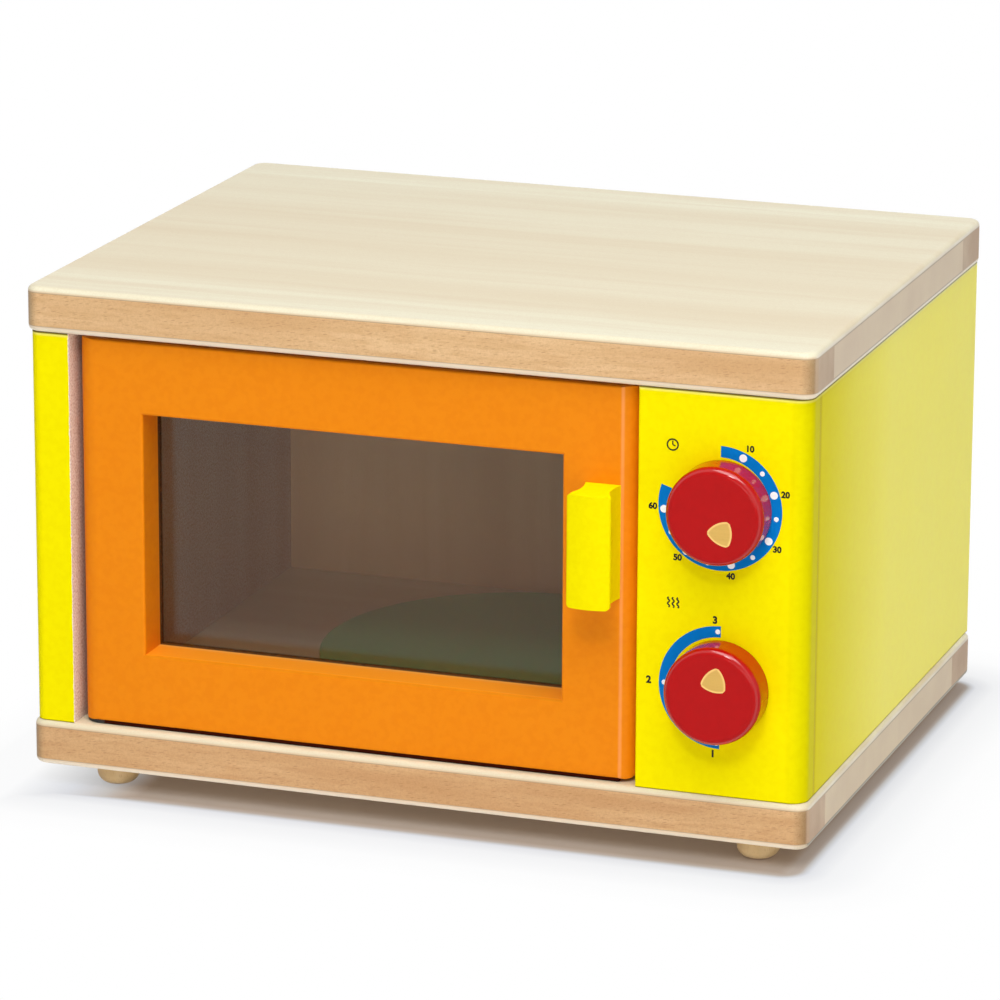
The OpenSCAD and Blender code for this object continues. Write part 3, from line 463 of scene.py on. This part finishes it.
def paint_door_light_and_shade(painted):
    """Paints on the lacquer: a highlight along the free edge's ridge and beside the pane's bed, light on
    faces that look up, shade on rounded-over edges and under the top.
    """
    material, tree, shader, coat, place = painted
    at = split(tree, place)
    # Painted highlight along the ridge where the free edge starts to round over
    off_ridge = reckon(tree, "ABSOLUTE",
                       reckon(tree, "SUBTRACT", at["X"], door_box[1].x - ridge_offset))
    ridge = ramp(tree, off_ridge, ridge_width, ridge_width / 3, 0.0, ridge_highlight_depth)
    in_front = ramp(tree, at["Y"], door_box[0].y + ridge_front, door_box[0].y + ridge_back, 1.0, 0.0)
    coat = blend_colors(tree, reckon(tree, "MULTIPLY", ridge, in_front), coat, ridge_painted_highlight)
    rise = split(tree, add(tree, "TexCoord").outputs["Normal"])["Z"]
    # Painted light on faces that look up
    upward = ramp(tree, rise, 0.9, 0.97)
    coat = blend_colors(tree, upward, coat, upward_painted_light)
    # Painted shade on the rounded-over edges
    tilted = reckon(tree, "MULTIPLY", ramp(tree, rise, 0.12, 0.4), ramp(tree, rise, 0.8, 0.98, 1.0, 0.0))
    coat = blend_colors(tree, tilted, coat, tilted_painted_shade, "MULTIPLY")
    # Painted shadow just under the top board
    top_z = door_box[1].z
    under_top = ramp(tree, at["Z"], top_z - top_line, top_z - top_line_solid, 0.0, top_line_depth)
    coat = blend_colors(tree, under_top, coat, top_painted_shadow)
    # Painted highlight on the sill beside the pane
    beside_pane = ramp(tree, at["Y"], pane_box[0].y - bed_line, pane_box[0].y - bed_line / 2)
    bedded = reckon(tree, "MULTIPLY", reckon(tree, "MULTIPLY", beside_pane, upward), bed_highlight_depth)
    coat = blend_colors(tree, bedded, coat, bed_painted_highlight)
    tree.links.new(coat, shader.inputs["Base Color"])
    return material


orange_coat = lacquer_finish("orange lacquer", shade(240, 139, 14), shade(232, 126, 6), **orange_look)
finish(paint_door_light_and_shade(orange_coat), "door_frame")


# The strip under the door
# A dark strip along the door's lower edge, with its two lower corners taken off. It fills most of the gap
# between the door and the base board, as painted shade for that gap.

strip_h, strip_depth, strip_edge, strip_set_back = 0.00125, 0.003, 0.0003, 0.0003
strip_left, strip_right = door_box[0].x + 0.010, door_box[1].x - 0.006
strip_front, strip_top = door_box[0].y + strip_set_back, door_box[0].z + strip_edge
# The strip's dark colour is painted shade for the gap under the door
gap_shade_dark = lacquer_finish("dark nylon, door strip", shade(58, 16, 5), shade(46, 11, 3), 0.7, peel=0.001,
                            Specular_IOR_Level=0.03)[0]
strip_section = [(0, 0), (strip_depth, 0), (strip_depth, -strip_h),
                 (strip_depth - strip_edge, -strip_h - strip_edge), (strip_edge, -strip_h - strip_edge),
                 (0, -strip_h)]
strip_mesh = bmesh.new()
strip_ends = [[strip_mesh.verts.new((x, strip_front + y, strip_top + z)) for y, z in strip_section]
              for x in (strip_left, strip_right)]
for i in range(len(strip_section)):
    after = (i + 1) % len(strip_section)
    strip_mesh.faces.new((strip_ends[0][i], strip_ends[0][after], strip_ends[1][after], strip_ends[1][i]))
for end in strip_ends:
    strip_mesh.faces.new(end)
bmesh.ops.recalc_face_normals(strip_mesh, faces=strip_mesh.faces)
door_strip = bpy.data.objects.new("door_gap_shade_strip", bpy.data.meshes.new("door_gap_shade_strip"))
strip_mesh.to_mesh(door_strip.data)
strip_mesh.free()
door_strip.data.materials.append(gap_shade_dark)
bpy.context.scene.collection.objects.link(door_strip)
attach(door_strip, "door")


# The window pane
# A sheet of smoked acrylic, 2 mm thick, cut square and left clear and glossy.
# It is screwed from behind against a step round the door's opening.

pane_tint, pane_tint_share = shade(101, 64, 33), 0.18
# Painted shade: a near-opaque black line round the pane's edge, in the crevice against the frame
bed_painted_shade, bed_painted_shade_share = shade(20, 12, 8), 0.97
bed_width = 0.008


def smoked_acrylic():
    """Clear dark acrylic, with a black line of painted shade where its edge beds against the frame."""
    material, tree, shader = new_finish("smoked acrylic", pane_tint, 0.04, Specular_IOR_Level=1.0,
                                        IOR=1.6, Alpha=pane_tint_share)
    place, _ = place_on(tree)
    skin = use_group(tree, LACQUER, {"Place": place, "Peel size": 0.02})
    tree.links.new(ramp(tree, skin["Cloud"], 0.3, 0.7, 0.02, 0.07), shader.inputs["Roughness"])
    middle = (pane_box[0] + pane_box[1]) / 2
    half = (pane_box[1] - pane_box[0]) / 2
    out = split(tree, reckon_place(tree, "ABSOLUTE", reckon_place(tree, "SUBTRACT", place, middle)))
    beside = reckon(tree, "SUBTRACT", out["X"], half.x - bed_width)
    above = reckon(tree, "SUBTRACT", out["Z"], half.z - bed_width)
    bedded = ramp(tree, reckon(tree, "MAXIMUM", beside, above), -0.001, -0.0004)
    tree.links.new(blend_colors(tree, bedded, pane_tint, bed_painted_shade), shader.inputs["Base Color"])
    tree.links.new(ramp(tree, bedded, 0.0, 1.0, pane_tint_share, bed_painted_shade_share), shader.inputs["Alpha"])
    return material


finish(smoked_acrylic(), "window_pane")


# The handle
# A solid wooden grip whose sides are hollowed for the fingers, sprayed with yellow lacquer.
# Two screws hold it from behind the door.

handle_yellow = lacquer_finish("yellow lacquer, handle", shade(247, 232, 2), shade(240, 222, 0), peel=0.002,
                               **yellow_look)[0]
finish(handle_yellow, "door_handle")


# Screws, pins, magnet and bushes
# The screws, hinge pins, magnet and catch plate are zinc-plated steel, driven or pressed into
# the wood. The bushes, washers and the spacer are turned nylon, and slip over their pins.

def plated_steel():
    """Zinc plating: faintly cloudy, and duller in small spots."""
    material, tree, shader = new_finish("zinc plated steel", shade(200, 202, 206), 0.3, Metallic=1.0)
    place, _ = place_on(tree)
    skin = use_group(tree, LACQUER, {"Place": place, "Peel size": 0.0012})
    cloudy = ramp(tree, skin["Cloud"], 0.3, 0.7)
    tree.links.new(blend_colors(tree, cloudy, shade(206, 208, 212), shade(178, 180, 184)),
                   shader.inputs["Base Color"])
    tree.links.new(ramp(tree, skin["Peel"], 0.3, 0.7, 0.24, 0.42), shader.inputs["Roughness"])
    return material


nylon = lacquer_finish("turned nylon", shade(236, 233, 224), shade(226, 222, 210), 0.5, peel=0.001)[0]
black_nylon = lacquer_finish("black nylon", shade(24, 20, 18), shade(18, 15, 14), 0.5, peel=0.001)[0]
finish(plated_steel(), "back_panel_screws", "stop_post_screws", "pane_screws", "handle_screws",
       "lower_hinge_pin", "upper_hinge_pin", "catch_magnet", "catch_plate", "catch_plate_screw",
       "timer_screw", "power_screw", "turntable_pin")
finish(nylon, "lower_hinge_bush", "upper_hinge_bush", "timer_washer", "power_washer", "turntable_spacer")
finish(black_nylon, "hinge_washer")


# The two knobs
# Turned wooden knobs dipped in glossy red lacquer, each on a beech spindle. A three-sided chip
# of pale wood is let into the face as a pointer.

red_look = {"roughness": 0.12, "Specular_IOR_Level": 0.16, "Coat_Roughness": 0.1, "Coat_IOR": 1.5}
grip_coat = 0.5
pointer_w = 0.0102
pointer_rim, pointer_rim_solid, pointer_rim_depth = 0.0009, 0.0004, 0.85
pointer_rim_painted_highlight = shade(254, 212, 128)


def polish_rim(painted):
    """The rounded rim of a knob is buffed to a higher gloss than its face and its grip."""
    material, tree, shader, _, _ = painted
    normal = split(tree, add(tree, "TexCoord").outputs["Normal"])
    front = reckon(tree, "MULTIPLY", normal["Y"], -1.0)
    rim = reckon(tree, "MULTIPLY", ramp(tree, front, 0.6, 0.7), ramp(tree, front, 0.82, 0.9, 1.0, 0.0))
    grip = ramp(tree, front, 0.05, 0.15, grip_coat, 0.0)
    tree.links.new(reckon(tree, "MAXIMUM", rim, grip), shader.inputs["Coat Weight"])
    return material


def rimmed_pointer(name, node, spindle):
    """Pale wood with a lighter line of painted highlight along its three bowed sides."""
    wood = sawn_finish(name, shade(220, 178, 92), shade(208, 162, 78), shade(192, 146, 68),
                       shade(222, 184, 104), shade(204, 160, 90), streaks=500.0,
                       fleck_size=(0.001, 0.0003), fleck_depth=0.3)
    material, tree, shader, grained, place, _ = wood
    front = [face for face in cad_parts[node].data.polygons if face.normal.y < -0.9]
    middle = sum((face.center * face.area for face in front), Vector()) / sum(face.area for face in front)
    ray = middle - sum(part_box(spindle), Vector()) / 2
    reach = 0.0
    for corner in range(3):
        turn = math.atan2(ray.x, ray.z) + math.radians(120 * corner)
        tip = middle + pointer_w / math.sqrt(3) * Vector((math.sin(turn), 0, math.cos(turn)))
        flat = reckon_place(tree, "MULTIPLY", reckon_place(tree, "SUBTRACT", place, tip), (1, 0, 1))
        away = add(tree, "VectorMath", {0: flat}, operation="LENGTH").outputs["Value"]
        reach = reckon(tree, "MAXIMUM", away, reach)
    # Painted highlight along the pointer's edge
    rim = ramp(tree, reach, pointer_w - pointer_rim, pointer_w - pointer_rim_solid, 0.0, pointer_rim_depth)
    tree.links.new(blend_colors(tree, rim, grained, pointer_rim_painted_highlight), shader.inputs["Base Color"])
    return material


red_lacquer = polish_rim(lacquer_finish("red lacquer", shade(181, 5, 7), shade(172, 4, 5), **red_look))
finish(red_lacquer, "timer_knob", "power_knob")
for knob in ("timer", "power"):
    finish(rimmed_pointer(knob + " pointer wood", knob + "_pointer", knob + "_spindle"), knob + "_pointer")
finish(beech, "timer_spindle", "power_spindle")


# The printed dials
# Ink printed on the control panel in three passes: blue bands round the knobs, white dots on the
# bands, and black numbers and marks. The ink stands a few hundredths of a millimetre proud.

ink_t = 0.00006
band_inner, band_outer, band_step = 0.0206, 0.0251, 3
panel_face = control_box[0].y
blue_ink = lacquer_finish("blue ink", shade(4, 122, 204), shade(2, 114, 196), 0.4, Specular_IOR_Level=0.03)[0]
white_ink = lacquer_finish("white ink", shade(247, 254, 255), shade(243, 250, 252), 0.4)[0]
black_ink = lacquer_finish("black ink", shade(8, 8, 8), shade(14, 13, 12), 0.45, Specular_IOR_Level=0.2)[0]


def beside_knob(axis, right, up):
    """A point on the panel's face, to the right of a knob's axis and above it."""
    return Vector((axis.x + right, panel_face, axis.z + up))


def on_dial(centre, radius, clockwise):
    """A point on the panel's face, at an angle clockwise from the top of a dial."""
    turn = math.radians(clockwise)
    return centre + Vector((radius * math.sin(turn), 0, radius * math.cos(turn)))


def ink_film(mesh, outline, front, back):
    """A flat film of ink with the given outline, closed at its edge and at its back."""
    faces = [[mesh.verts.new((p.x, y, p.z)) for p in outline] for y in (front, back)]
    mesh.faces.new(faces[0])
    mesh.faces.new(reversed(faces[1]))
    for i, corner in enumerate(faces[0]):
        after = (i + 1) % len(outline)
        mesh.faces.new((faces[1][i], faces[1][after], faces[0][after], corner))


def print_piece(name, mesh, ink):
    """Turns a drawn mesh into a printed piece that stays with the casing."""
    bmesh.ops.recalc_face_normals(mesh, faces=mesh.faces)
    made = bpy.data.objects.new(name, bpy.data.meshes.new(name))
    mesh.to_mesh(made.data)
    mesh.free()
    made.data.materials.append(ink)
    bpy.context.scene.collection.objects.link(made)
    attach(made, "case")


def band(name, centre, start, end):
    """A blue band round a dial from one angle to another, clockwise from the top."""
    mesh = bmesh.new()
    count = round(abs(end - start) / band_step)
    edge = [[mesh.verts.new(on_dial(centre, radius, start + (end - start) * i / count)
                            + Vector((0, y, 0)))
             for radius in (band_inner, band_outer) for y in (-ink_t, 0)] for i in range(count + 1)]
    for a, b in zip(edge, edge[1:]):
        for i, j in ((0, 2), (2, 3), (3, 1), (1, 0)):
            mesh.faces.new((a[i], a[j], b[j], b[i]))
    for closed in (edge[0], edge[-1]):
        mesh.faces.new([closed[i] for i in (0, 2, 3, 1)])
    print_piece(name, mesh, blue_ink)


def dots(name, centre, places):
    """White dots along the middle of a band, each given by its angle and its width."""
    mesh = bmesh.new()
    for clockwise, width in places:
        middle = on_dial(centre, (band_inner + band_outer) / 2, clockwise)
        outline = [on_dial(middle, width / 2, -a) for a in range(0, 360, 15)]
        ink_film(mesh, outline, panel_face - 2 * ink_t, panel_face - ink_t)
    print_piece(name, mesh, white_ink)


def numbers(name, labels, height):
    """Small black numbers, each centred on its place."""
    # The font's figures stand 0.7 of its size high, and its strokes are thickened a little
    letter_size, letter_weight = height * 1.43, height * 0.066
    mesh = bmesh.new()
    for text, place in labels:
        letters = bpy.data.curves.new(name, "FONT")
        letters.body = text
        letters.align_x, letters.align_y = "CENTER", "CENTER"
        letters.size = letter_size
        letters.extrude = ink_t / 2
        letters.offset = letter_weight
        letters.resolution_u = 4
        made = bpy.data.objects.new(name, letters)
        bpy.context.scene.collection.objects.link(made)
        bpy.context.view_layer.update()
        shape = bpy.data.meshes.new_from_object(made.evaluated_get(bpy.context.evaluated_depsgraph_get()))
        to_panel = Matrix.Translation(place - Vector((0, ink_t / 2, 0)))
        shape.transform(to_panel @ Matrix.Rotation(math.pi / 2, 4, "X"))
        mesh.from_mesh(shape)
        bpy.data.objects.remove(made)
    bmesh.ops.remove_doubles(mesh, verts=mesh.verts, dist=ink_t / 10)
    print_piece(name, mesh, black_ink)


def line_mark(mesh, points, width):
    """A printed line through the given points on the panel's face."""
    side = []
    for i in range(len(points)):
        before, after = points[max(i - 1, 0)], points[min(i + 1, len(points) - 1)]
        run = (after - before).normalized()
        side.append(Vector((-run.z, 0, run.x)) * width / 2)
    outline = [p + s for p, s in zip(points, side)] + [p - s for p, s in zip(points, side)][::-1]
    ink_film(mesh, outline, panel_face - ink_t, panel_face)


timer_axis = sum(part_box("timer_spindle"), Vector()) / 2
timer_dial = beside_knob(timer_axis, -0.00115, 0.00025)
first_dot, dot_step, big_dot, small_dot = 23.3, 48.2, 0.0031, 0.00195
first_number, number_step, number_ring, number_h = 25.2, 48.3, 0.0274, 0.0024
band("timer_band", timer_dial, 0, 288)
dots("timer_dots", timer_dial,
     [(first_dot + i * dot_step, big_dot) for i in range(6)]
     + [(first_dot + (i + 0.5) * dot_step, small_dot) for i in range(5)])
numbers("timer_numbers",
        [(str(10 * (i + 1)), on_dial(timer_dial, number_ring, first_number + i * number_step))
         for i in range(6)], number_h)

power_axis = sum(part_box("power_spindle"), Vector()) / 2
power_dial = beside_knob(power_axis, -0.0001, 0.0003)
level_angles, level_dot, level_h = (-3, -90, -177), 0.002, 0.0028
level_places = [(-0.0025, 0.0276), (-0.0294, 0.0006), (-0.0027, -0.0271)]
band("power_band", power_dial, 0, -180)
dots("power_dots", power_dial, [(angle, level_dot) for angle in level_angles])
numbers("power_numbers", [(str(3 - i), beside_knob(power_axis, *place))
                          for i, place in enumerate(level_places)], level_h)

clock_centre, clock_r, clock_line = beside_knob(timer_axis, -0.0207, 0.0241), 0.0022, 0.0006
minute_hand, hour_hand, hand_line = (0.0016, 0), (0.0012, 110), 0.0005
clock_mark = bmesh.new()
line_mark(clock_mark, [on_dial(clock_centre, clock_r, a) for a in range(0, 361, 12)], clock_line)
for hand in (minute_hand, hour_hand):
    line_mark(clock_mark, [clock_centre, on_dial(clock_centre, *hand)], hand_line)
print_piece("timer_clock_mark", clock_mark, black_ink)

heat_centre, wave_gap, wave_line = beside_knob(power_axis, -0.0197, 0.0332), 0.0019, 0.0006
wave_swing, wave_half_h = 0.0004, 0.0021
heat_mark = bmesh.new()
for i in (-1, 0, 1):
    wave = [heat_centre + Vector((wave_swing * math.sin(t * math.pi / 4), 0, (t - 8) / 8 * wave_half_h))
            + Vector((i * wave_gap, 0, 0)) for t in range(17)]
    line_mark(heat_mark, wave, wave_line)
print_piece("power_heat_mark", heat_mark, black_ink)


# The turntable
# A turned wooden disc sprayed with a satin green lacquer.
# It turns on a steel pin in the middle of the oven's floor.

green_lacquer = lacquer_finish("green lacquer", shade(108, 184, 122), shade(100, 172, 110), 0.4)[0]
finish(green_lacquer, "turntable_disc")


# The studio
# The oven stands on a sheet of white paper, under soft lamps above it, in front of it and at
# its right. The camera stands at the photograph's place.

# These reaches and shares shape the paper's painted shadow beside the base board
end_shift, front_shift, shade_reach = 0.0095, 0.0005, 0.06
left_reach, left_white = (-0.108, -0.17), 0.95
right_reach, right_white = (0.15, 0.159), 0.22
under_board, warm_end = 0.13, 0.34
warm_painted_bounce, white_glow, paper_white = shade(250, 206, 168), shade(255, 255, 255), shade(236, 236, 236)
near_painted_shadow, far_painted_shadow = shade(147, 140, 133), shade(144, 152, 172)
# The share of plain white on the paper, at parts of the reach away from the base board's edge
shade_steps = ((0.067, under_board), (0.133, 0.26), (0.2, 0.68), (0.333, 0.85), (0.667, 0.97), (1.0, 1.0))


def seen_rays(tree):
    """The rays that see a background, in a gloss and through a pane too, and the camera's own."""
    rays = add(tree, "LightPath").outputs
    seen = reckon(tree, "MAXIMUM", rays["Is Camera Ray"], rays["Is Glossy Ray"])
    return reckon(tree, "MAXIMUM", seen, rays["Is Transmission Ray"]), rays["Is Camera Ray"]


def floor_paper():
    """White paper: close to the oven lies its shadow, partly real and partly painted, and plain white past
    it.
    """
    material = bpy.data.materials.new("floor paper")
    material.use_nodes = True
    tree = material.node_tree
    tree.nodes.clear()
    here = add(tree, "NewGeometry").outputs
    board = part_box("base_lower_facing")
    middle, half = (board[0] + board[1]) / 2, (board[1] - board[0]) / 2
    # Only the distance beside the board counts, so 9 m is taken off every height
    any_height = 9
    side = reckon_place(tree, "SUBTRACT", here["Position"], (middle.x, middle.y, 0))
    past = reckon_place(tree, "SUBTRACT", reckon_place(tree, "ABSOLUTE", side),
                        (half.x - end_shift, half.y - front_shift, any_height))
    clear_of = reckon_place(tree, "MAXIMUM", past, (0, 0, 0))
    away = add(tree, "VectorMath", {0: clear_of}, operation="LENGTH").outputs["Value"]
    fade = add(tree, "ValToRGB", {"Fac": ramp(tree, away, 0.0, shade_reach)})
    stops = fade.color_ramp.elements
    stops[0].position, stops[0].color = shade_steps[0][0], [shade_steps[0][1]] * 3 + [1.0]
    stops[1].position, stops[1].color = shade_steps[-1][0], [shade_steps[-1][1]] * 3 + [1.0]
    for position, white_share in shade_steps[1:-1]:
        stops.new(position).color = [white_share] * 3 + [1.0]
    across = split(tree, here["Position"])["X"]
    at_left = ramp(tree, across, *left_reach, 0.0, left_white)
    at_right = ramp(tree, across, *right_reach, 0.0, right_white)
    light = reckon(tree, "MAXIMUM", fade.outputs["Color"], at_left)
    light = reckon(tree, "MAXIMUM", light, at_right)
    seen, by_camera = seen_rays(tree)
    # Painted shadow: for the camera the paper is greyer near the oven and bluer further out
    shaded = blend_colors(tree, ramp(tree, light, 0.35, 0.6), near_painted_shadow, far_painted_shadow)
    matt = add(tree, "BsdfDiffuse", {"Color": blend_colors(tree, by_camera, paper_white, shaded)})
    # Painted bounce light: the glow is warm where it lies under the base board
    glowing = blend_colors(tree, ramp(tree, light, under_board, warm_end), warm_painted_bounce, white_glow)
    glow = add(tree, "Emission", {"Color": glowing, "Strength": 1.0})
    white = reckon(tree, "MULTIPLY", light, seen)
    paper = add(tree, "MixShader", {0: white, 1: matt.outputs[0], 2: glow.outputs[0]})
    clear = add(tree, "BsdfTransparent")
    sheet = add(tree, "MixShader", {0: here["Backfacing"], 1: paper.outputs[0], 2: clear.outputs[0]})
    add(tree, "OutputMaterial", {"Surface": sheet.outputs[0]})
    return material


bpy.ops.mesh.primitive_plane_add(size=16)
floor = bpy.context.object
floor.name = "studio_floor"
floor.data.materials.append(floor_paper())

horizon_light, zenith_light = 0.05, 0.2
world = bpy.data.worlds.new("studio")
bpy.context.scene.world = world
world.use_nodes = True
sky = world.node_tree
seen_sky, _ = seen_rays(sky)
toward = split(sky, add(sky, "TexCoord").outputs["Generated"])
dome = ramp(sky, toward["Z"], 0.0, 0.7, horizon_light, zenith_light)
level = add(sky, "Mix", {0: seen_sky, 2: dome, 3: 1.0})
sky.links.new(level.outputs[0], sky.nodes["Background"].inputs["Strength"])
sky.nodes["Background"].inputs["Color"].default_value = (1, 1, 1, 1)


def softbox(name, place, aim, width, height, power):
    """A soft rectangular lamp, turned towards the point that it lights."""
    lamp = bpy.data.lights.new(name, "AREA")
    lamp.shape = "RECTANGLE"
    lamp.size, lamp.size_y, lamp.energy = width, height, power
    made = bpy.data.objects.new(name, lamp)
    made.location = place
    made.rotation_euler = (Vector(aim) - Vector(place)).to_track_quat("-Z", "Y").to_euler()
    bpy.context.scene.collection.objects.link(made)


oven_centre, knobs_centre = (0, 0, 0.1), (0.1, -0.1, 0.1)
softbox("top_lamp", (0.4, -0.8, 2.1), oven_centre, 1.7, 1.7, 43.5)
softbox("front_lamp", (0.7, -2.5, 0.45), oven_centre, 1.8, 0.8, 11.5)
softbox("knob_lamp", (0.34, -1.6, 1.5), knobs_centre, 0.24, 0.24, 7.5)
softbox("side_lamp", (2.2, 0.2, 0.6), oven_centre, 1.2, 1.0, 3.3)

camera_place = Vector((0.73724, -2.12577, 0.73014))
azimuth, elevation, roll = (math.radians(a) for a in (19.217, 15.540, 0.237))
film_width_mm, lens_mm, sight_limit = 36.0, 202.32, 50
back = Vector((math.sin(azimuth) * math.cos(elevation),
               -math.cos(azimuth) * math.cos(elevation), math.sin(elevation)))
right = (-back).cross(Vector((0, 0, 1))).normalized()
up = right.cross(-back)
across = math.cos(roll) * right + math.sin(roll) * up
upright = -math.sin(roll) * right + math.cos(roll) * up
camera = bpy.data.objects.new("camera", bpy.data.cameras.new("camera"))
camera.data.sensor_width, camera.data.lens = film_width_mm, lens_mm
camera.data.clip_end = sight_limit
camera.matrix_world = Matrix((across, upright, back)).transposed().to_4x4()
camera.matrix_world.translation = camera_place
bpy.context.scene.collection.objects.link(camera)
bpy.context.scene.camera = camera
bpy.context.scene.view_settings.view_transform = "Standard"
